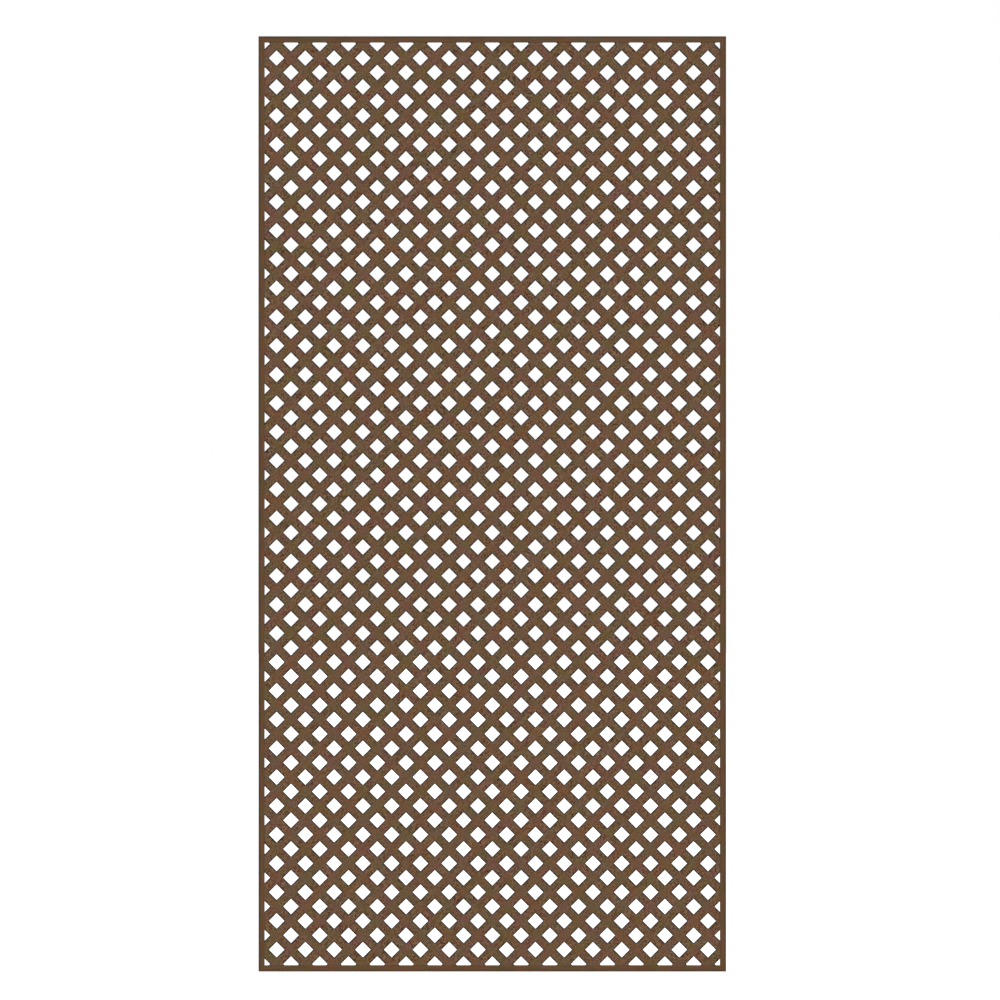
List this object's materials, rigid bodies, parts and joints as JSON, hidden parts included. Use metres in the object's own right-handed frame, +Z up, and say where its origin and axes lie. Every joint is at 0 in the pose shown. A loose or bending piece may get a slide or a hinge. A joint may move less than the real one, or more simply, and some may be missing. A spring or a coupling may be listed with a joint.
{
  "type": "plastic lattice panel",
  "caption": "Flat rectangular lattice panel of crossed diagonal plastic slats in a narrow channel frame, for fence infill, privacy screens and climbing plants.",
  "frame": {"origin": "middle of the bottom rail's lower face, at mid depth", "axes": "+Z up along the panel's height, +X to the right across its width, +Y from the front face to the back"},
  "size_m": [1.2192, 0.0098, 2.4384],
  "materials": {
    "slats": "matte",
    "rails": "matte"
  },
  "bodies": {
    "root": {"top_rail": "rails", "bottom_rail": "rails", "left_stile": "rails", "right_stile": "rails", "top_slat_pair_01": "slats", "top_slat_pair_02": "slats", "top_slat_pair_03": "slats", "top_slat_pair_04": "slats", "top_slat_pair_05": "slats", "top_slat_pair_06": "slats", "top_slat_pair_07": "slats", "top_slat_pair_08": "slats", "top_slat_pair_09": "slats", "top_slat_pair_10": "slats", "top_slat_pair_11": "slats", "top_slat_pair_12": "slats", "top_slat_pair_13": "slats", "top_slat_pair_14": "slats", "top_slat_pair_15": "slats", "top_slat_pair_16": "slats", "middle_front_slat_01": "slats", "middle_rear_slat_01": "slats", "middle_front_slat_02": "slats", "middle_rear_slat_02": "slats", "middle_front_slat_03": "slats", "middle_rear_slat_03": "slats", "middle_front_slat_04": "slats", "middle_rear_slat_04": "slats", "middle_slat_pair_05": "slats", "middle_slat_pair_06": "slats", "middle_slat_pair_07": "slats", "middle_slat_pair_08": "slats", "middle_slat_pair_09": "slats", "middle_slat_pair_10": "slats", "middle_slat_pair_11": "slats", "middle_slat_pair_12": "slats", "middle_front_slat_13": "slats", "middle_rear_slat_13": "slats", "middle_front_slat_14": "slats", "middle_rear_slat_14": "slats", "middle_front_slat_15": "slats", "middle_rear_slat_15": "slats", "middle_front_slat_16": "slats", "middle_rear_slat_16": "slats", "bottom_slat_pair_01": "slats", "bottom_slat_pair_02": "slats", "bottom_slat_pair_03": "slats", "bottom_slat_pair_04": "slats", "bottom_slat_pair_05": "slats", "bottom_slat_pair_06": "slats", "bottom_slat_pair_07": "slats", "bottom_slat_pair_08": "slats", "bottom_slat_pair_09": "slats", "bottom_slat_pair_10": "slats", "bottom_slat_pair_11": "slats", "bottom_slat_pair_12": "slats", "bottom_slat_pair_13": "slats", "bottom_slat_pair_14": "slats", "bottom_slat_pair_15": "slats", "bottom_slat_pair_16": "slats"}
  },
  "joints": []
}
